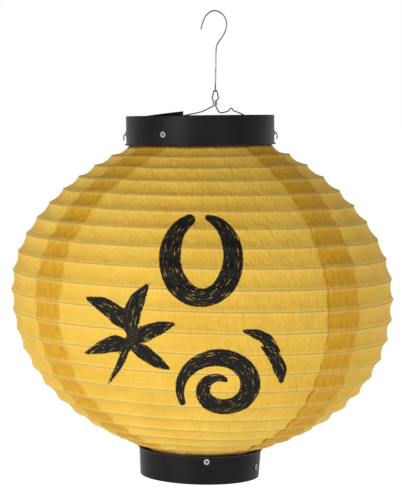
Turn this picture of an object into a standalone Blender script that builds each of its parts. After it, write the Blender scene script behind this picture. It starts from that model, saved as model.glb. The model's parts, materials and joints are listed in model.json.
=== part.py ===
"""A round folding lantern: four cloth gores over twenty wire hoops, between two plastic
collars, hung from a wire bail and a wire hook. The origin is the point that the hook hangs
from, +Z is up and -Y is the front. Azimuths run from the front towards +X."""

from math import cos, pi, radians, sin, tan

import bmesh
import bpy
from mathutils import Matrix, Vector

MM = 0.001
GAP = 0.0003  # left between pieces that touch

# The body
AXIS_X = -0.0162  # the collars' axis, to the left of the hanging point
BELLY_DRIFT = 0.0023  # how far the middle hoops hang to the right of that axis
HOOPS = 20
HOOP_WIRE = 0.0014
HOOP_INSET = 0.0021  # from the cloth's outside to the middle of a hoop's wire
TOP_TILT = radians(-0.6)  # the top collar rises to the right
TILT_SWELL = radians(2.5)  # and the hoops and the bottom collar drop to the right
TILT_WAVE = 0.7 * pi

# The body's outline, as radius and height: where it starts, bulges and ends
NECK_TOP = Vector((0.0832, -0.1563))
EQUATOR = Vector((0.2244, -0.3272))
NECK_LOW = Vector((0.0680, -0.5111))
TOP_SLOPE = radians(23.8)
LOW_SLOPE = radians(17.7)
TOP_HANDLES = (0.0699, 0.0781)  # how hard the outline leaves the neck and nears the equator
LOW_HANDLES = (0.1224, 0.0764)

# The cloth
CLOTH = 0.0005
LAYER = CLOTH + 0.0005  # how far a gore's lap stands out over its neighbour
SEAMS = (38.0, 126.5, 215.0, 303.5)  # azimuth of each gore's cut edge, degrees
LAPS = (0.050, 0.050, 0.050, 0.045)  # width of the lap under each of those edges
HEM_TOP = Vector((0.0818, -0.1525))  # the hems are tucked inside the collars
HEM_LOW = Vector((0.0656, -0.5148))

# The collars: radius at each edge, heights, and the strip that they are wound from
STRIP = 0.0012
TOP_R = 0.0870
TOP_HIGH, TOP_LOW = -0.1213, -0.1554
LOW_R_HIGH, LOW_R_LOW = 0.0725, 0.0705
LOW_HIGH, LOW_LOW = -0.5118, -0.5453
TOP_LAP_START, TOP_LAP = 194.0, 35.0
LOW_LAP_START, LOW_LAP = 58.0, 22.0
LAP_RISE = 0.0050  # how far the top strip's inner end stands up
RIM_WIRE = 0.0016

# The eyelets and the wires
EYELET_BORE, EYELET_BARREL, EYELET_FLANGE = 0.0015, 0.0020, 0.0034
EYELET_SHEET = 0.0004
TOP_EYELET_Z = -0.1420
HOOK_WIRE = 0.0016
BAIL_WIRE = 0.0014
LINK = Vector((0.0013, 0, -0.09355))  # where the bail's eye turns on the hook's eye
LINK_R = 0.00185  # the bail's wire bends round the hook's at this radius
HOOK_EYE_R = 0.0023
FERRULE_X, FERRULE_HIGH, FERRULE_LOW = 0.0005, -0.1045, -0.1094
STRAND = 0.0011  # from the ferrule's middle to each strand
BAIL_END_R = 0.0896  # the bail's ends turn down at this distance from the axis
BAIL_END_DROP = 0.0080

PLASTIC = ("black_plastic", (0.012, 0.011, 0.010), 0.38, 0.0)
CLOTH_YELLOW = ("yellow_cloth", (0.78, 0.53, 0.09), 0.72, 0.0)
BLACK_WIRE = ("black_wire", (0.015, 0.013, 0.012), 0.45, 0.6)
HOOP_STEEL = ("hoop_steel", (0.22, 0.17, 0.06), 0.5, 0.7)
BRIGHT_WIRE = ("bright_wire", (0.72, 0.72, 0.71), 0.2, 1.0)
GREY_METAL = ("grey_metal", (0.42, 0.42, 0.41), 0.35, 1.0)


def clear():
    for old in list(bpy.data.objects):
        bpy.data.objects.remove(old)


def material(look):
    name, colour, roughness, metallic = look
    made = bpy.data.materials.new(name)
    made.use_nodes = True
    shader = made.node_tree.nodes["Principled BSDF"]
    shader.inputs["Base Color"].default_value = (*colour, 1)
    shader.inputs["Roughness"].default_value = roughness
    shader.inputs["Metallic"].default_value = metallic
    return made


def add(name, data, look, parent):
    """A new object on its parent, which keeps the object's own world coordinates."""
    made = bpy.data.objects.new(name, data)
    bpy.context.scene.collection.objects.link(made)
    data.materials.append(material(look))
    if parent:
        made.parent = parent
        made.matrix_parent_inverse = Matrix.Translation(-parent.location)
    return made


def axis_empty(name, place, parent=None):
    made = bpy.data.objects.new(name, None)
    bpy.context.scene.collection.objects.link(made)
    made.location = place
    if parent:
        made.parent = parent
        made.matrix_parent_inverse = Matrix.Translation(-parent.location)
    return made


def mesh_of(name, points, faces, crease=30):
    """A smooth-shaded mesh with outward faces."""
    made = bpy.data.meshes.new(name)
    bm = bmesh.new()
    corners = [bm.verts.new(p) for p in points]
    for face in faces:
        bm.faces.new([corners[i] for i in face])
    bmesh.ops.recalc_face_normals(bm, faces=bm.faces)
    bm.to_mesh(made)
    bm.free()
    made.shade_smooth()
    made.set_sharp_from_angle(angle=radians(crease))
    return made


def wire(name, points, thickness, look, parent, sides):
    """A round wire bent smoothly through the points."""
    curve = bpy.data.curves.new(name, "CURVE")
    curve.dimensions = "3D"
    curve.bevel_depth = thickness / 2
    curve.bevel_resolution = sides // 2 - 2
    curve.use_fill_caps = True
    curve.resolution_u = 3
    spline = curve.splines.new("BEZIER")
    spline.bezier_points.add(len(points) - 1)
    for knot, point in zip(spline.bezier_points, points):
        knot.co = point
        knot.handle_left_type = "AUTO"
        knot.handle_right_type = "AUTO"
    return add(name, curve, look, parent)


def ring_wire(name, centre, radius, tilt, thickness, look, parent, stations):
    """A closed hoop of wire, tilted so that its right side drops by the tilt."""
    curve = bpy.data.curves.new(name, "CURVE")
    curve.dimensions = "3D"
    curve.bevel_depth = thickness / 2
    curve.bevel_resolution = 0
    spline = curve.splines.new("POLY")
    spline.points.add(stations - 1)
    spline.use_cyclic_u = True
    for i, knot in enumerate(spline.points):
        turn = 2 * pi * i / stations
        across = radius * sin(turn)
        knot.co = (
            centre.x + across,
            centre.y - radius * cos(turn),
            centre.z - across * tan(tilt),
            1,
        )
    return add(name, curve, look, parent)


# The body's shape


def bezier(a, b, c, d, t):
    return a * (1 - t) ** 3 + b * 3 * t * (1 - t) ** 2 + c * 3 * t * t * (1 - t) + d * t**3


def outline(steps=200):
    """Fine points down the body's outline, radius and height."""
    leave_top = Vector((cos(TOP_SLOPE), -sin(TOP_SLOPE)))
    leave_low = Vector((cos(LOW_SLOPE), sin(LOW_SLOPE)))
    upper = (
        NECK_TOP,
        NECK_TOP + TOP_HANDLES[0] * leave_top,
        EQUATOR + Vector((0, TOP_HANDLES[1])),
        EQUATOR,
    )
    lower = (
        EQUATOR,
        EQUATOR - Vector((0, LOW_HANDLES[1])),
        NECK_LOW + LOW_HANDLES[0] * leave_low,
        NECK_LOW,
    )
    points = [bezier(*upper, i / steps) for i in range(steps + 1)]
    return points + [bezier(*lower, i / steps) for i in range(1, steps + 1)]


def ribs():
    """The outline at the top collar, at each hoop and at the bottom collar, evenly spaced."""
    points = outline()
    along = [0.0]
    for a, b in zip(points, points[1:]):
        along.append(along[-1] + (b - a).length)
    found = []
    for k in range(HOOPS + 2):
        goal = along[-1] * k / (HOOPS + 1)
        i = max(j for j in range(len(along) - 1) if along[j] <= goal)
        share = (goal - along[i]) / (along[i + 1] - along[i])
        found.append(points[i].lerp(points[i + 1], share))
    return found


def tilt_at(share):
    """How far a ring leans to the right, from the top collar (0) to the bottom one (1)."""
    return TOP_TILT + TILT_SWELL * sin(TILT_WAVE * share)


def centre_at(share):
    return AXIS_X + BELLY_DRIFT * sin(pi * share)


def on_ring(radius, height, share, azimuth):
    """A point at an azimuth, in radians, on a tilted ring of the body."""
    across = radius * sin(azimuth)
    return Vector(
        (
            centre_at(share) + across,
            -radius * cos(azimuth),
            height - across * tan(tilt_at(share)),
        )
    )


# The cloth


def gore_stations(k, radius):
    """Azimuths across gore k at a radius, and how far each stands out over its neighbour."""
    start = radians(SEAMS[k])
    end = radians(SEAMS[(k + 1) % 4] + (360 if k == 3 else 0))
    under = LAPS[k] / radius
    over = LAPS[(k + 1) % 4] / radius
    margin = 0.0008 / radius
    free = start + under + margin
    ramp = 0.012 / radius
    stations = [(start, LAYER), (start + under / 2, LAYER), (free, LAYER)]
    plain = 8
    for i in range(plain + 1):
        stations.append((free + ramp + (end - free - ramp) * i / plain, 0))
    return stations + [(end + over / 2, 0), (end + over, 0)]


def gore(name, k, parent):
    """One panel, from hem to hem, as a closed sheet straight between the hoops."""
    rows = ribs()
    shares = [i / (HOOPS + 1) for i in range(HOOPS + 2)]
    rows = [HEM_TOP, *rows, HEM_LOW]
    shares = [0.0, *shares, 1.0]
    points = []
    for row, share in zip(rows, shares):
        for azimuth, proud in gore_stations(k, row.x):
            for depth in (0, CLOTH):
                points.append(on_ring(row.x + proud - depth, row.y, share, azimuth))
    across = len(points) // len(rows) // 2

    def at(row, column, side):
        return (row * across + column) * 2 + side

    faces = []
    for i in range(len(rows) - 1):
        for j in range(across - 1):
            for side in (0, 1):
                faces.append(
                    (
                        at(i, j, side),
                        at(i + 1, j, side),
                        at(i + 1, j + 1, side),
                        at(i, j + 1, side),
                    )
                )
        for j in (0, across - 1):
            faces.append((at(i, j, 0), at(i + 1, j, 0), at(i + 1, j, 1), at(i, j, 1)))
    for i in (0, len(rows) - 1):
        for j in range(across - 1):
            faces.append((at(i, j, 0), at(i, j + 1, 0), at(i, j + 1, 1), at(i, j, 1)))
    return add(name, mesh_of(name, points, faces), CLOTH_YELLOW, parent)


# The collars


def tilted(height, tilt):
    """Turns a collar about its attached edge, so that its right side drops by the tilt."""
    pivot = Vector((AXIS_X, 0, height))
    return Matrix.Translation(pivot) @ Matrix.Rotation(tilt, 4, "Y") @ Matrix.Translation(-pivot)


def strip(name, lap_start, lap, radii, heights, rise, place, parent):
    """A flat strip wound round once, its start tucked inside its end and standing up by rise."""
    step = 6.0
    turns = 360 + lap
    count = round(turns / step)
    settle = 14.0  # degrees over which the tucked end comes out to the full radius
    points = []
    for i in range(count + 1):
        gone = turns * i / count
        tuck = (STRIP + GAP) * min(1.0, max(0.0, (lap + settle - gone) / settle))
        up = rise * max(0.0, 1 - gone / lap)
        turn = radians(lap_start + gone)
        out = Vector((sin(turn), -cos(turn), 0))
        for radius, height in zip(radii, heights):
            for depth in (0, STRIP):
                middle = Vector((AXIS_X, 0, height + up))
                points.append(middle + out * (radius - tuck - depth))
    faces = []
    for i in range(count):
        a, b = 4 * i, 4 * i + 4
        for p, q in ((0, 1), (1, 3), (3, 2), (2, 0)):
            faces.append((a + p, a + q, b + q, b + p))
    faces.append((0, 1, 3, 2))
    end = 4 * count
    faces.append((end, end + 1, end + 3, end + 2))
    points = [place @ p for p in points]
    return add(name, mesh_of(name, points, faces, crease=20), PLASTIC, parent)


def facing(azimuth, radius, height, place):
    """Where an eyelet sits: +X out of the collar, +Z up."""
    turn = radians(azimuth)
    spot = Vector((AXIS_X + radius * sin(turn), -radius * cos(turn), height))
    return place @ Matrix.Translation(spot) @ Matrix.Rotation(turn - pi / 2, 4, "Z")


def punch(band, azimuth, radius, height, place):
    """A hole for an eyelet, through every layer of the band."""
    bm = bmesh.new()
    reach = EYELET_BARREL + GAP
    bmesh.ops.create_cone(
        bm,
        cap_ends=True,
        segments=12,
        radius1=reach,
        radius2=reach,
        depth=0.012,
        matrix=Matrix.Rotation(pi / 2, 4, "Y"),
    )
    bm.transform(facing(azimuth, radius, height, place))
    shape = bpy.data.meshes.new(f"{band.name}_punch")
    bm.to_mesh(shape)
    bm.free()
    cutter = bpy.data.objects.new(f"{band.name}_punch_{round(azimuth)}", shape)
    bpy.context.scene.collection.objects.link(cutter)
    cutter.hide_render = True
    cutter.display_type = "WIRE"
    cut = band.modifiers.new("eyelet hole", "BOOLEAN")
    cut.operation = "DIFFERENCE"
    cut.solver = "EXACT"
    cut.object = cutter


def eyelet(name, azimuth, radius, height, place, parent, layers=1):
    """A hollow rivet, flanged on both faces of the strip."""
    inner = -(layers * STRIP + (layers - 1) * GAP) - GAP
    section = [
        (GAP, EYELET_BARREL),
        (GAP, EYELET_FLANGE),
        (GAP + EYELET_SHEET, EYELET_FLANGE),
        (GAP + EYELET_SHEET, EYELET_BORE),
        (inner - EYELET_SHEET, EYELET_BORE),
        (inner - EYELET_SHEET, EYELET_FLANGE),
        (inner, EYELET_FLANGE),
        (inner, EYELET_BARREL),
    ]
    steps = 12
    move = facing(azimuth, radius, height, place)
    points = []
    for i in range(steps):
        turn = 2 * pi * i / steps
        for along, out in section:
            points.append(move @ Vector((along, out * cos(turn), out * sin(turn))))
    size = len(section)
    faces = []
    for i in range(steps):
        a, b = i * size, (i + 1) % steps * size
        for j in range(size):
            n = (j + 1) % size
            faces.append((a + j, a + n, b + n, b + j))
    return add(name, mesh_of(name, points, faces), GREY_METAL, parent)


def low_radius(height):
    """The bottom collar's outer radius, which narrows downwards."""
    share = (LOW_HIGH - height) / (LOW_HIGH - LOW_LOW)
    return LOW_R_HIGH + (LOW_R_LOW - LOW_R_HIGH) * share


# The hook and the bail


def route(points):
    """Points given across and up in millimetres, in the plane of the bail."""
    return [Vector((x * MM, 0, z * MM)) for x, z in points]


def hook_points():
    bend = route(
        [(-15.7, -20.9), (-12.4, -10.0), (-8.0, -3.2), (0, 0.8), (8.0, -2.0), (13.2, -9.0)]
        + [(14.4, -15.8), (12.7, -23.3), (8.2, -31.4), (3.4, -38.4), (2.3, -43.0), (1.8, -60)]
        + [(1.4, -80), (1.3, -86.5)]
    )
    middle = LINK + Vector((0, 0, HOOK_EYE_R))
    for degrees in range(40, 311, 30):
        turn = radians(degrees)
        bend.append(middle + HOOK_EYE_R * Vector((0, sin(turn), cos(turn))))
    return bend


def bail_eye():
    """The pointed eye, from the left strand over the hook's eye to the right strand."""
    left, right = FERRULE_X - STRAND, FERRULE_X + STRAND
    over = [LINK + LINK_R * Vector((-cos(a), 0, sin(a))) for a in map(radians, (25, 90, 155))]
    rising = [(left / MM, z) for z in (-107.5, -105.2)] + [(-0.9, -104.0), (-2.4, -101.6)]
    falling = [(4.9, -101.6), (1.9, -104.0)] + [(right / MM, z) for z in (-105.2, -107.5)]
    return route(rising + [(-1.5, -97.6)]) + over + route([(4.1, -97.6)] + falling)


def bail_end(side):
    """Where the bail passes through its eyelet, and its end, turned down outside."""
    height = TOP_EYELET_Z - side * BAIL_END_R * sin(TOP_TILT)
    reach = [BAIL_END_R - 0.0085, BAIL_END_R - 0.0050, BAIL_END_R - 0.0018]
    spots = [Vector((AXIS_X + side * r, 0, height)) for r in reach]
    corner = AXIS_X + side * BAIL_END_R
    spots.append(Vector((corner, 0, height - 0.0018)))
    return spots + [Vector((corner, 0, height - BAIL_END_DROP))]


def bail_points():
    left = route(
        [(-5.2, -112.2), (-11.7, -115.6), (-20, -118.2), (-32, -120.6), (-50, -124.6)]
        + [(-68, -130.2), (-84, -137.6)]
    )
    right = route(
        [(3.1, -113.0), (5.2, -116.6), (8.4, -118.2), (12.8, -117.2), (17.4, -115.4)]
        + [(19.9, -112.6), (22.2, -115.4), (27, -117.3), (34, -120.4), (45, -126.6), (55, -134)]
    )
    ends = FERRULE_LOW - 0.0003
    strands = [Vector((FERRULE_X + s * STRAND, 0, ends)) for s in (-1, 1)]
    points = list(reversed(bail_end(-1))) + list(reversed(left)) + [strands[0]]
    return points + bail_eye() + [strands[1]] + right + bail_end(1)


def ferrule(parent):
    """An oval sleeve squeezed round the two strands."""
    name = "crimp_ferrule"
    inner = (STRAND + BAIL_WIRE / 2 + 2 * GAP, BAIL_WIRE / 2 + 2 * GAP)
    wall = 0.0008
    steps = 20
    points = []
    for height in (FERRULE_LOW, FERRULE_HIGH):
        for grow in (0, wall):
            for i in range(steps):
                turn = 2 * pi * i / steps
                flat = abs(cos(turn)) ** 0.5 * (1 if cos(turn) > 0 else -1)
                across = flat * (inner[0] + grow)
                deep = sin(turn) * (inner[1] + grow)
                points.append(Vector((FERRULE_X + across, deep, height)))
    faces = []
    for i in range(steps):
        n = (i + 1) % steps
        for a, b in ((0, 1), (1, 3), (3, 2), (2, 0)):
            faces.append((a * steps + i, b * steps + i, b * steps + n, a * steps + n))
    return add(name, mesh_of(name, points, faces), GREY_METAL, parent)


def build_hanger():
    """The hook stays still; the bail swings on it, and the lantern swings on the bail."""
    hook = axis_empty("hook_body", Vector((0, 0, 0)))
    bail = axis_empty("bail_axis", LINK, hook)
    wire("hook_wire", hook_points(), HOOK_WIRE, BRIGHT_WIRE, hook, sides=8)
    wire("bail_wire", bail_points(), BAIL_WIRE, BLACK_WIRE, bail, sides=6)
    ferrule(bail)
    return bail


def build_top(bail):
    body = axis_empty("top_collar_axis", Vector((AXIS_X, 0, TOP_EYELET_Z)), bail)
    place = tilted(TOP_LOW, TOP_TILT)
    heights, radii = (TOP_HIGH, TOP_LOW), (TOP_R, TOP_R)
    band = strip(
        "top_collar_band", TOP_LAP_START, TOP_LAP, radii, heights, LAP_RISE, place, body
    )
    lap_middle = TOP_LAP_START + TOP_LAP / 2
    eyelets = {"left": (-90, 1), "right": (90, 1), "front": (-29, 1), "lap": (lap_middle, 2)}
    for side, (azimuth, layers) in eyelets.items():
        punch(band, azimuth, TOP_R, TOP_EYELET_Z, place)
        eyelet(f"top_eyelet_{side}", azimuth, TOP_R, TOP_EYELET_Z, place, body, layers)
    rim_r = TOP_R + GAP + RIM_WIRE / 2
    rim = Vector((AXIS_X, 0, TOP_LOW + RIM_WIRE / 2))
    ring_wire("top_rim_wire", rim, rim_r, TOP_TILT, RIM_WIRE, BLACK_WIRE, body, 40)
    for k, name in enumerate(("right_gore", "back_gore", "left_gore", "front_gore")):
        gore(name, k, body)
    return body


def build_bottom(top):
    tilt = tilt_at(1)
    body = axis_empty("bottom_collar_axis", Vector((AXIS_X, 0, LOW_HIGH)), top)
    place = tilted(LOW_HIGH, tilt)
    heights, radii = (LOW_HIGH, LOW_LOW), (LOW_R_HIGH, LOW_R_LOW)
    band = strip("bottom_collar_band", LOW_LAP_START, LOW_LAP, radii, heights, 0, place, body)
    eyelets = {"front": (5.8, 0.0065, 1), "right": (66.5, 0.0190, 2)}
    for side, (azimuth, below, layers) in eyelets.items():
        height = LOW_HIGH - below
        punch(band, azimuth, low_radius(height), height, place)
        name = f"bottom_eyelet_{side}"
        eyelet(name, azimuth, low_radius(height), height, place, body, layers)
    rim_r = LOW_R_HIGH + GAP + RIM_WIRE / 2
    rim = Vector((AXIS_X, 0, LOW_HIGH - RIM_WIRE / 2))
    ring_wire("bottom_rim_wire", rim, rim_r, tilt, RIM_WIRE, BLACK_WIRE, body, 36)


def build_hoops(top):
    """Each hoop lies inside its ridge of the cloth, and slides upwards as the lantern folds."""
    rows = ribs()
    for k in range(1, HOOPS + 1):
        share = k / (HOOPS + 1)
        down = (rows[k + 1] - rows[k - 1]).normalized()
        inside = rows[k] + HOOP_INSET * Vector((down.y, -down.x))
        centre = Vector((centre_at(share), 0, inside.y))
        body = axis_empty(f"hoop_{k:02d}_axis", centre, top)
        look = (HOOP_WIRE, HOOP_STEEL)
        ring_wire(f"hoop_{k:02d}", centre, inside.x, tilt_at(share), *look, body, 30)


def main():
    clear()
    bail = build_hanger()
    top = build_top(bail)
    build_hoops(top)
    build_bottom(top)


main()
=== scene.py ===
"""The looks of a round folding cloth lantern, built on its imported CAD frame: the cloth gores
with their laps, wrinkles and painted motif, the hoops under them, and a finish for every
collar, eyelet and wire."""

import json
from math import cos, pi, radians, sin

import bpy
import numpy as np
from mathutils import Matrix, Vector, noise


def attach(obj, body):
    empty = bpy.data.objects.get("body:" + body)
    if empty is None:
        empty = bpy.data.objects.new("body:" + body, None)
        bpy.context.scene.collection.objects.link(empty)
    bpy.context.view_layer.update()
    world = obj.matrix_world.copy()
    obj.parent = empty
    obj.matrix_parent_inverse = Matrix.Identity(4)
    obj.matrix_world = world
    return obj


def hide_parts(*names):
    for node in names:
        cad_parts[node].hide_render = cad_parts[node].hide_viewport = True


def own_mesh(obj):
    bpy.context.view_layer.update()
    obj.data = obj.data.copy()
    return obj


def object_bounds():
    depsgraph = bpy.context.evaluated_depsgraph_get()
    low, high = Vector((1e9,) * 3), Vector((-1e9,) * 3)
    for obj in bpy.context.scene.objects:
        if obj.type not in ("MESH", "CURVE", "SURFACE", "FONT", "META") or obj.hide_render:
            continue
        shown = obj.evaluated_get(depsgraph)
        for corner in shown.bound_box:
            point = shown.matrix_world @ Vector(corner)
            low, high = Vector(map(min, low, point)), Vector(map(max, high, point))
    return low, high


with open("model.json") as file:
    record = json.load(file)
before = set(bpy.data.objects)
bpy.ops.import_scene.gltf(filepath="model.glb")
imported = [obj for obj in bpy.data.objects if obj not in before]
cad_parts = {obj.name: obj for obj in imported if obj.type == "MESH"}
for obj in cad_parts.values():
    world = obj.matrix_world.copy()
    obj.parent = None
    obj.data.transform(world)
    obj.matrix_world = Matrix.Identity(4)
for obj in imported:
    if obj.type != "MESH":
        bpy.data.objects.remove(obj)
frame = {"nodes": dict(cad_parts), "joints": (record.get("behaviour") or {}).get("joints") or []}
cad_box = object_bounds()

MM = 0.001
HOOPS = [f"hoop_{k:02d}" for k in range(1, 21)]
GORES = ("right_gore", "back_gore", "left_gore", "front_gore")

# The cloth. Azimuths run from the front towards +X, in degrees
SEAMS = (38.0, 126.5, 215.0, 303.5)
LAPS = (0.050, 0.050, 0.050, 0.045)
LAYER = 0.0009  # how far a lap stands out over the cloth under it
SAG = 0.0030  # how far the cloth pulls in between two hoops
WANDER = 0.0022  # how far a cut edge strays from its meridian
SUBROWS = 8
COLUMNS = 118
HOOP_WIRE = 0.0014
HOOP_INSET = 0.0021  # from the cloth's ridge to the middle of a hoop's wire
RIM_WIRE = 0.0016
BAND_FIT = 0.0003  # between a rim wire and its collar
CLOTH_ARC = 0.224  # radius at which lengths round the cloth are measured
ROW_PITCH = 0.0235
DOUBLE = 0.004  # how far a lap stays proud past the edge under it
RAMP = 0.010  # over which it comes back to one layer
SETTLE = 0.0015
HOOP_SIDES, HOOP_STATIONS = 6, 120
NECK_IN, NECK_BELOW_BAND = 0.0038, 0.0009
HEM = 0.14  # how far, in bays, the cloth is tucked into each collar


# The frame's rings, as centre, radius and lean


def points_of(node):
    return np.array([v.co for v in frame["nodes"][node].data.vertices], float)


def ring_of(node, wire):
    co = points_of(node)
    low, high = co.min(0), co.max(0)
    near = 0.03 * (high[0] - low[0])
    right = co[co[:, 0] > high[0] - near].mean(0)
    left = co[co[:, 0] < low[0] + near].mean(0)
    return {
        "x": (low[0] + high[0]) / 2,
        "z": (low[2] + high[2]) / 2,
        "r": (high[1] - low[1]) / 2 - wire / 2,
        "lean": (left[2] - right[2]) / (right[0] - left[0]),
    }


rings = [ring_of(name, HOOP_WIRE) for name in HOOPS]
top_rim = ring_of("top_rim_wire", RIM_WIRE)
low_rim = ring_of("bottom_rim_wire", RIM_WIRE)
collapse = next(j for j in frame["joints"] if j["name"] == "collapse")
ANCHOR = collapse["deforming_nodes"][0]["fixed_end_z_m"]
FOOT_IN, FOOT_ABOVE_RIM = 0.0056, 0.0015
HIGH, LOW = ANCHOR - NECK_BELOW_BAND, low_rim["z"] + FOOT_ABOVE_RIM


def ridge_rows():
    """Where the cloth runs: hem, neck, each hoop's ridge, neck and hem."""
    neck = {**top_rim, "r": top_rim["r"] - NECK_IN - BAND_FIT, "z": HIGH}
    foot = {**low_rim, "r": low_rim["r"] - FOOT_IN, "z": LOW}
    chain = [neck, *rings, foot]
    rows = []
    for k, ring in enumerate(chain):
        row = dict(ring)
        if 0 < k < len(chain) - 1:
            above, below = chain[k - 1], chain[k + 1]
            down = Vector((below["r"] - above["r"], below["z"] - above["z"])).normalized()
            row["r"] -= HOOP_INSET * down.y
            row["z"] += HOOP_INSET * down.x
        rows.append(row)
    return rows


ROWS = ridge_rows()
BAY_LENGTHS = [np.hypot(a["r"] - b["r"], a["z"] - b["z"]) for a, b in zip(ROWS, ROWS[1:])]
DEPTH = np.array([0.0, *np.cumsum(BAY_LENGTHS)])
BAYS = len(ROWS) - 1


def section(v):
    """The cloth's ring at row v, with its outward normal and how far v is from a hoop."""
    k = np.clip(np.floor(v).astype(int), 0, BAYS - 1)
    t = v - k
    ring = {key: np.array([row[key] for row in ROWS]) for key in ("x", "z", "r", "lean")}
    at = {key: ring[key][k] * (1 - t) + ring[key][k + 1] * t for key in ring}
    dr, dz = ring["r"][k + 1] - ring["r"][k], ring["z"][k + 1] - ring["z"][k]
    length = np.hypot(dr, dz)
    at["out_r"], at["out_z"] = -dz / length, dr / length
    at["t"] = t
    at["rib"] = np.minimum(t, 1 - t) * length
    return at


def grain(points, scale, seed):
    """Smooth noise from -1 to 1 at each point."""
    shift = Vector((seed * 7.3, seed * 3.1, seed * 5.7))
    return np.array([noise.noise(Vector(p) * scale + shift) for p in points])


def cloth_surface(azimuth, v, proud):
    """Points of the cloth at azimuths in radians and rows v, standing out by proud."""
    at = section(v)
    arc = azimuth * 0.22
    flat = np.stack([arc, v * ROW_PITCH, np.zeros_like(arc)], 1)
    swell = 1 + 0.45 * grain(flat, 9.0, 1)
    hollow = np.clip(np.sin(pi * at["t"]), 0, 1)
    pull = SAG * hollow**0.85 * swell
    slant = np.stack([arc * 0.8 + v * ROW_PITCH * 0.6, v * ROW_PITCH * 0.35 - arc * 0.2, arc * 0], 1)
    wrinkle = 0.0010 * grain(slant, 55.0, 2) + 0.0005 * grain(flat, 130.0, 3)
    wrinkle *= hollow**0.5
    out = proud - pull + wrinkle
    radius = at["r"] + at["out_r"] * out
    height = at["z"] + at["out_z"] * out
    across = radius * np.sin(azimuth)
    points = np.stack(
        [at["x"] + across, -radius * np.cos(azimuth), height - across * at["lean"]], 1
    )
    return points, at


# The painted motif: a brushed ring, a spray of leaves and a curl, as seen from the front


def bent(points, widths, steps=14):
    """A brush stroke's fine points and half widths, bent smoothly through the given ones."""
    points, widths = np.array(points, float), np.array(widths, float) / 2
    knots = np.arange(len(points))
    fine = np.linspace(0, len(points) - 1, steps * (len(points) - 1) + 1)
    padded = np.vstack([2 * points[0] - points[1], points, 2 * points[-1] - points[-2]])
    k = np.minimum(fine.astype(int), len(points) - 2)
    t = (fine - k)[:, None]
    a, b, c, d = (padded[k + i] for i in range(4))
    spline = 0.5 * (
        2 * b + (c - a) * t + (2 * a - 5 * b + 4 * c - d) * t**2 + (3 * b - a - 3 * c + d) * t**3
    )
    return spline, np.interp(fine, knots, widths)


def arc_stroke(centre, radii, start, sweep, widths, count=22, curl=1.0):
    turns = [radians(start + sweep * i / (count - 1)) for i in range(count)]
    shrink = [1 + (curl - 1) * i / (count - 1) for i in range(count)]
    points = [
        (centre[0] + radii[0] * s * cos(a), centre[1] + radii[1] * s * sin(a))
        for a, s in zip(turns, shrink)
    ]
    spread = np.interp(np.linspace(0, 1, count), np.linspace(0, 1, len(widths)), widths)
    return bent(points, spread, steps=4)


STROKES = [
    arc_stroke((-1, -272), (34, 42), 112, 326, (12, 23, 24, 19, 23, 20, 7)),
    bent([(-126, -318), (-108, -324), (-90, -336), (-72, -354)], (3, 16, 21, 4)),
    bent([(-58, -300), (-70, -318), (-77, -338), (-78, -360)], (3, 17, 20, 4)),
    bent([(-30, -342), (-46, -347), (-62, -354), (-78, -366)], (3, 14, 18, 4)),
    bent([(-128, -380), (-110, -372), (-94, -366), (-78, -364)], (3, 14, 19, 4)),
    bent([(-36, -392), (-50, -384), (-64, -374), (-80, -366)], (3, 14, 17, 4)),
    bent([(-72, -344), (-80, -364), (-88, -386), (-102, -412)], (5, 8, 8, 3)),
    arc_stroke((20, -414), (46, 42), 205, -500, (7, 19, 22, 19, 14, 6), count=40, curl=0.24),
    bent([(64, -368), (77, -380), (84, -394), (86, -410)], (3, 13, 15, 4)),
    bent([(44, -350), (58, -354), (70, -361), (82, -374)], (3, 11, 13, 4)),
]


def ink_of(points):
    """Distance outside the painted strokes in mm (negative inside), and place along and across."""
    middle = ROWS[BAYS // 2]["x"]
    spot = np.stack([(points[:, 0] - middle) / MM, points[:, 2] / MM], 1)
    best = np.full(len(points), 30.0)
    along, across = np.zeros(len(points)), np.zeros(len(points))
    near = (points[:, 1] < -0.03) & (spot[:, 1] < -190)
    for number, (line, half) in enumerate(STROKES):
        gone = 0.0
        for a, b, wa, wb in zip(line, line[1:], half, half[1:]):
            run = b - a
            length = max(float(np.hypot(*run)), 1e-6)
            rel = spot[near] - a
            t = np.clip(rel @ run / length**2, 0, 1)
            off = rel - t[:, None] * run
            distance = np.hypot(off[:, 0], off[:, 1]) - (wa + (wb - wa) * t)
            side = (rel[:, 0] * run[1] - rel[:, 1] * run[0]) / length
            closer = distance < best[near]
            index = np.flatnonzero(near)[closer]
            best[index] = distance[closer]
            along[index] = gone + t[closer] * length + 97 * number
            across[index] = side[closer]
            gone += length
    return best, along, across


# Meshes


def mesh_object(name, points, faces, smooth=True):
    mesh = bpy.data.meshes.new(name)
    mesh.from_pydata([tuple(p) for p in points], [], faces)
    mesh.validate()
    if smooth:
        mesh.shade_smooth()
    made = bpy.data.objects.new(name, mesh)
    bpy.context.scene.collection.objects.link(made)
    return made


def attribute(obj, name, values):
    layer = obj.data.attributes.new(name, "FLOAT", "POINT")
    layer.data.foreach_set("value", np.asarray(values, np.float32))


def grid_faces(rows, columns):
    faces = []
    for i in range(rows - 1):
        for j in range(columns - 1):
            a = i * columns + j
            faces.append((a, a + columns, a + columns + 1, a + 1))
    return faces


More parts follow.
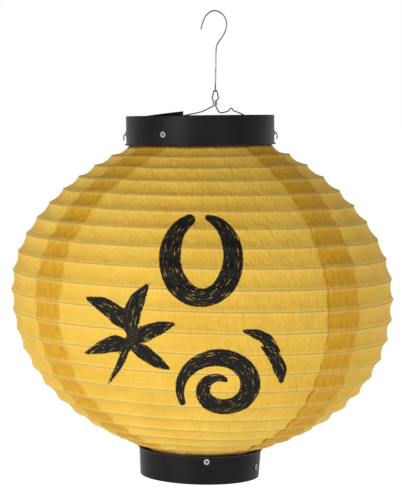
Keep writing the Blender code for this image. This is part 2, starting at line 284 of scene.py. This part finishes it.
def gore(name, k, look):
    """One panel of cloth, from hem to hem, its cut edge lapped over the next panel's."""
    rows = np.concatenate([[-HEM], np.linspace(0, BAYS, BAYS * SUBROWS + 1), [BAYS + HEM]])
    start, end = radians(SEAMS[k]), radians(SEAMS[(k + 1) % 4] + (360 if k == 3 else 0))
    share = np.linspace(0, 1, COLUMNS)
    v = np.repeat(rows, COLUMNS)
    radius = section(v)["r"]
    waver = 0.6 * np.sin(v * 1.9 + k) + 0.7 * np.sin(v * 0.83 + 2 * k) + 0.4 * np.sin(v * 4.3)
    waver *= WANDER * np.sin(pi * np.clip(v / BAYS, 0, 1)) ** 0.5
    first = start + 0.15 * waver / radius
    last = end + (LAPS[(k + 1) % 4] + waver) / radius
    azimuth = first + (last - first) * np.tile(share, len(rows))
    from_cut = (azimuth - first) * radius
    proud = LAYER * np.clip((LAPS[k] + DOUBLE + RAMP - from_cut) / RAMP, 0, 1)
    points, at = cloth_surface(azimuth, v, proud)
    made = mesh_object(f"{name}_cloth", points, grid_faces(len(rows), COLUMNS))
    lap_top = np.clip((LAPS[k] + waver - from_cut) / SETTLE, 0, 1)
    lap_low = np.clip((azimuth - end) * radius / SETTLE, 0, 1)
    attribute(made, "rib", at["rib"] / MM)
    attribute(made, "lap", np.maximum(lap_top, lap_low))
    attribute(made, "cut", np.minimum(from_cut, np.abs(LAPS[k] + waver - from_cut)) / MM)
    attribute(made, "arc", azimuth * CLOTH_ARC / MM)
    attribute(made, "down", np.interp(v, np.arange(BAYS + 1), DEPTH) / MM)
    attribute(made, "neck", np.minimum(v, BAYS - v) * ROW_PITCH / MM)
    ink, along, across = ink_of(points)
    attribute(made, "ink", ink)
    attribute(made, "along", along)
    attribute(made, "across", across)
    made.data.materials.append(look)
    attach(made, "top_collar")
    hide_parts(name)
    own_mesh(made)
    return made


def hoop(name, ring, look):
    points, faces = [], []
    for i in range(HOOP_STATIONS):
        turn = 2 * pi * i / HOOP_STATIONS
        for j in range(HOOP_SIDES):
            roll = 2 * pi * j / HOOP_SIDES
            radius = ring["r"] + HOOP_WIRE / 2 * cos(roll)
            across = radius * sin(turn)
            height = ring["z"] + HOOP_WIRE / 2 * sin(roll) - across * ring["lean"]
            points.append((ring["x"] + across, -radius * cos(turn), height))
    for i in range(HOOP_STATIONS):
        for j in range(HOOP_SIDES):
            a, b = i * HOOP_SIDES, (i + 1) % HOOP_STATIONS * HOOP_SIDES
            n = (j + 1) % HOOP_SIDES
            faces.append((a + j, b + j, b + n, a + n))
    made = mesh_object(f"{name}_wire", points, faces)
    made.data.materials.append(look)
    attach(made, name)
    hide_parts(name)
    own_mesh(made)
    return made


# Materials


class Look:
    """A node material, written as a chain of small steps."""

    def __init__(self, name):
        self.material = bpy.data.materials.new(name)
        self.material.use_nodes = True
        self.tree = self.material.node_tree
        self.shader = self.tree.nodes["Principled BSDF"]
        self.output = self.tree.nodes["Material Output"]
        self.places = self.tree.nodes.new("ShaderNodeTexCoord").outputs["Object"]

    def link(self, value, socket):
        if isinstance(value, bpy.types.NodeSocket):
            self.tree.links.new(value, socket)
        else:
            socket.default_value = value

    def value(self, name):
        node = self.tree.nodes.new("ShaderNodeAttribute")
        node.attribute_name = name
        return node.outputs["Fac"]

    def math(self, kind, a, b=0.0, clamp=False):
        node = self.tree.nodes.new("ShaderNodeMath")
        node.operation, node.use_clamp = kind, clamp
        self.link(a, node.inputs[0])
        self.link(b, node.inputs[1])
        return node.outputs[0]

    def ramp(self, value, low, high, to_low=0.0, to_high=1.0):
        node = self.tree.nodes.new("ShaderNodeMapRange")
        for socket, given in zip(node.inputs, (value, low, high, to_low, to_high)):
            self.link(given, socket)
        return node.outputs[0]

    def place(self, x, y, z=0.0):
        node = self.tree.nodes.new("ShaderNodeCombineXYZ")
        for socket, given in zip(node.inputs, (x, y, z)):
            self.link(given, socket)
        return node.outputs[0]

    def noise(self, place, scale, detail=3.0, rough=0.5):
        node = self.tree.nodes.new("ShaderNodeTexNoise")
        node.inputs["Scale"].default_value = scale
        node.inputs["Detail"].default_value = detail
        node.inputs["Roughness"].default_value = rough
        self.link(place, node.inputs["Vector"])
        return node.outputs["Fac"]

    def mix(self, share, a, b):
        node = self.tree.nodes.new("ShaderNodeMix")
        node.data_type = "RGBA"
        self.link(share, node.inputs["Factor"])
        for socket, given in ((node.inputs["A"], a), (node.inputs["B"], b)):
            self.link((*given, 1) if isinstance(given, tuple) else given, socket)
        return node.outputs["Result"]

    def bump(self, height, distance, strength=1.0, under=None):
        node = self.tree.nodes.new("ShaderNodeBump")
        node.inputs["Strength"].default_value = strength
        node.inputs["Distance"].default_value = distance
        self.link(height, node.inputs["Height"])
        if under:
            self.link(under, node.inputs["Normal"])
        return node.outputs["Normal"]

    def finish(self, colour, roughness, normal=None, **fixed):
        self.link(colour, self.shader.inputs["Base Color"])
        self.link(roughness, self.shader.inputs["Roughness"])
        if normal:
            self.link(normal, self.shader.inputs["Normal"])
        for name, given in fixed.items():
            self.shader.inputs[name.replace("_", " ")].default_value = given
        return self.material


def cloth_look():
    look = Look("lantern_cloth")
    arc, down, rib = look.value("arc"), look.value("down"), look.value("rib")
    flat = look.place(arc, down)
    clouds = look.noise(look.place(arc, down), 0.011, 4, 0.55)
    # Painted shade: darker, greener patches that stand in for the far laps seen through the cloth
    far_lap_shade_patches = look.noise(look.place(look.math("ADD", arc, 400), down), 0.022, 2)
    colour = look.mix(look.ramp(clouds, 0.35, 0.7), (0.76, 0.47, 0.055), (0.86, 0.57, 0.085))
    colour = look.mix(look.ramp(far_lap_shade_patches, 0.55, 0.8, 0, 0.5), colour, (0.60, 0.42, 0.07))
    warp = look.noise(look.place(look.math("MULTIPLY", arc, 14), down), 0.08, 2)
    weft = look.noise(look.place(arc, look.math("MULTIPLY", down, 14)), 0.08, 2)
    weave = look.math("MULTIPLY", look.math("ADD", warp, weft), 0.5)
    colour = look.mix(look.ramp(weave, 0.3, 0.7, 0.0, 0.34), colour, (0.62, 0.37, 0.045))
    lap = look.value("lap")
    creases = look.noise(look.place(look.math("MULTIPLY", arc, 2.2), down), 0.07, 4, 0.6)
    lap_colour = look.mix(look.ramp(creases, 0.35, 0.65), (0.55, 0.27, 0.004), (0.68, 0.37, 0.012))
    colour = look.mix(look.math("MULTIPLY", lap, 0.86), colour, lap_colour)
    edge = look.ramp(look.value("cut"), 0.0, 1.1, 0.55, 0.0)
    colour = look.mix(edge, colour, (0.30, 0.16, 0.015))
    # Partly painted shade: a thin dark line along each hoop stands for the wire's shadow seen through
    # the cloth. It is partly the real glue line where the cloth is stuck to the wire.
    line = look.ramp(rib, 0.35, 1.25, 0.85, 0.0)
    colour = look.mix(line, colour, (0.30, 0.18, 0.03))
    # Painted highlight: a lighter band on either side of each hoop, where the cloth's ridge catches
    # the light
    rib_ridge_highlight = look.ramp(rib, 0.9, 4.5, 0.30, 0.0)
    colour = look.mix(rib_ridge_highlight, colour, (0.95, 0.70, 0.20))
    # Partly painted shade: a dark red-brown band where the cloth goes under each collar. It stands
    # for the shade under the collar's edge together with a real glue stain.
    collar_shade_and_stain = look.noise(flat, 0.12, 3)
    reach = look.math("ADD", look.value("neck"), look.math("MULTIPLY", collar_shade_and_stain, -5.0))
    colour = look.mix(look.ramp(reach, -1.6, 1.0, 0.85, 0.0), colour, (0.17, 0.05, 0.018))
    stroke = look.place(look.math("MULTIPLY", look.value("along"), 0.12), look.value("across"))
    streaks = look.noise(stroke, 0.75, 3, 0.6)
    fray = look.noise(flat, 0.55, 3, 0.6)
    reach = look.math("ADD", look.value("ink"), look.math("MULTIPLY", fray, 2.6))
    painted = look.ramp(reach, 1.0, 1.7, 1.0, 0.0)
    dry = look.ramp(streaks, 0.60, 0.68, 0.0, 0.72)
    painted = look.math("MULTIPLY", painted, look.math("SUBTRACT", 1.0, dry), clamp=True)
    colour = look.mix(painted, colour, (0.0085, 0.0080, 0.0070))
    rough = look.ramp(creases, 0.3, 0.7, 0.52, 0.74)
    normal = look.bump(weave, 0.0004, 0.5)
    crinkle = look.noise(look.place(look.math("MULTIPLY", arc, 1.5), down), 0.09, 4, 0.6)
    normal = look.bump(crinkle, 0.004, 0.8, under=normal)
    look.finish(colour, rough, normal, Specular_IOR_Level=0.16)
    through = look.tree.nodes.new("ShaderNodeBsdfTranslucent")
    look.link(colour, through.inputs["Color"])
    mixed = look.tree.nodes.new("ShaderNodeMixShader")
    mixed.inputs[0].default_value = 0.22
    look.link(look.shader.outputs[0], mixed.inputs[1])
    look.link(through.outputs[0], mixed.inputs[2])
    look.link(mixed.outputs[0], look.output.inputs["Surface"])
    return look.material


def plastic_look():
    look = Look("satin_plastic")
    haze = look.noise(look.places, 28.0, 4)
    scuff = look.noise(look.places, 260.0, 5, 0.65)
    colour = look.mix(look.ramp(haze, 0.35, 0.7), (0.0035, 0.0030, 0.0027), (0.0070, 0.0062, 0.0055))
    colour = look.mix(look.ramp(scuff, 0.66, 0.8, 0, 0.5), colour, (0.07, 0.065, 0.06))
    rough = look.ramp(haze, 0.3, 0.7, 0.34, 0.48)
    normal = look.bump(scuff, 0.00025, 0.35)
    return look.finish(colour, rough, normal, Specular_IOR_Level=0.11)


def wire_look(name, dark, light, rough, metal, worn):
    """Drawn wire, darker where it is dirty, with fine draw marks and worn spots."""
    look = Look(name)
    dirt = look.noise(look.places, 90.0, 4)
    fine = look.noise(look.places, 1500.0, 3)
    colour = look.mix(look.ramp(dirt, 0.35, 0.65), dark, light)
    colour = look.mix(look.ramp(fine, 0.62, 0.75, 0, 0.6), colour, worn)
    roughness = look.ramp(dirt, 0.3, 0.7, rough, rough + 0.18)
    return look.finish(colour, roughness, look.bump(fine, 0.0001, 0.3), Metallic=metal)


def smooth_band(node):
    """The strip's long faces shaded round, its edges a little worn."""
    for kept in ("custom_normal", "sharp_edge", "sharp_face"):
        if kept in node.data.attributes:
            node.data.attributes.remove(node.data.attributes[kept])
    node.data.shade_smooth()
    node.modifiers.new("join", "WELD").merge_threshold = 0.00002
    soften = node.modifiers.new("worn edge", "BEVEL")
    soften.width, soften.segments, soften.limit_method = 0.0003, 2, "ANGLE"
    soften.angle_limit = radians(50)
    node.modifiers.new("shading", "WEIGHTED_NORMAL").keep_sharp = False


def finish_nodes():
    plastic = plastic_look()
    black = wire_look(
        "black_wire_coat", (0.008, 0.006, 0.005), (0.030, 0.020, 0.014), 0.45, 0.3, (0.10, 0.06, 0.04)
    )
    bright = wire_look(
        "drawn_wire", (0.05, 0.05, 0.048), (0.20, 0.20, 0.195), 0.22, 1.0, (0.45, 0.44, 0.42)
    )
    grey = wire_look(
        "eyelet_metal", (0.22, 0.22, 0.21), (0.42, 0.42, 0.41), 0.28, 1.0, (0.12, 0.11, 0.10)
    )
    looks = {"band": plastic, "rim": black, "bail": black, "hook": bright}
    looks |= {"eyelet": grey, "ferrule": grey}
    for name, node in frame["nodes"].items():
        if node.hide_render:
            continue
        for key, look in looks.items():
            if key in name:
                node.data.materials.clear()
                node.data.materials.append(look)
    for name in ("top_collar_band", "bottom_collar_band"):
        smooth_band(frame["nodes"][name])


# The studio: a pale floor, soft lights and the camera

FLOOR_REACH, FLOOR_BELOW, FLOOR_GLOW = 60.0, 0.40, 0.62
HORIZON_GLOW, ZENITH_GLOW = 1.0, 0.25


def area_light(name, place, aim, size, watts):
    lamp = bpy.data.lights.new(name, "AREA")
    lamp.shape, lamp.size, lamp.energy = "DISK", size, watts
    made = bpy.data.objects.new(name, lamp)
    bpy.context.scene.collection.objects.link(made)
    made.location = place
    made.rotation_euler = (Vector(aim) - Vector(place)).to_track_quat("-Z", "Y").to_euler()


def pale_floor(height):
    rim = [(FLOOR_REACH * cos(a), FLOOR_REACH * sin(a), height) for a in np.linspace(0, 2 * pi, 65)]
    made = mesh_object("pale_floor", rim[:-1], [tuple(range(64))], smooth=False)
    look = Look("pale_paper")
    mottle = look.noise(look.places, 3.0, 2)
    look.finish(look.mix(mottle, (0.88, 0.88, 0.875), (0.91, 0.91, 0.91)), 0.9)
    look.shader.inputs["Emission Color"].default_value = (1, 1, 1, 1)
    look.shader.inputs["Emission Strength"].default_value = FLOOR_GLOW
    made.data.materials.append(look.material)


def sky(world):
    """White round the horizon, dimmer overhead."""
    world.use_nodes = True
    tree = world.node_tree
    split = tree.nodes.new("ShaderNodeSeparateXYZ")
    tree.links.new(tree.nodes.new("ShaderNodeTexCoord").outputs["Generated"], split.inputs[0])
    fade = tree.nodes.new("ShaderNodeMapRange")
    for socket, given in zip(fade.inputs[1:5], (0.25, 0.75, HORIZON_GLOW, ZENITH_GLOW)):
        socket.default_value = given
    tree.links.new(split.outputs["Z"], fade.inputs[0])
    tree.links.new(fade.outputs[0], tree.nodes["Background"].inputs["Strength"])
    tree.nodes["Background"].inputs["Color"].default_value = (1, 1, 1, 1)


def studio():
    scene = bpy.context.scene
    scene.view_settings.view_transform = "Standard"
    world = scene.world or bpy.data.worlds.new("studio")
    scene.world = world
    sky(world)
    pale_floor(cad_box[0].z - FLOOR_BELOW)
    middle = (0, 0, -0.32)
    area_light("key", (-1.6, -2.2, 0.0), middle, 1.3, 33)
    area_light("fill", (1.5, -2.4, -0.1), middle, 1.6, 6)


def camera():
    lens = bpy.data.cameras.new("camera")
    lens.lens, lens.sensor_width = 141.5, 36.0
    made = bpy.data.objects.new("camera", lens)
    bpy.context.scene.collection.objects.link(made)
    made.location = (-0.0155, -2.29, -0.109)
    aim = Vector((-0.0155, 0, -0.277))
    made.rotation_euler = (aim - made.location).to_track_quat("-Z", "Y").to_euler()
    bpy.context.scene.camera = made


def main():
    cloth = cloth_look()
    for number, name in enumerate(GORES):
        gore(name, number, cloth)
    steel = wire_look(
        "hoop_wire_steel", (0.10, 0.075, 0.03), (0.22, 0.17, 0.08), 0.4, 0.8, (0.3, 0.24, 0.12)
    )
    for name, ring in zip(HOOPS, rings):
        hoop(name, ring, steel)
    finish_nodes()
    studio()
    camera()


main()
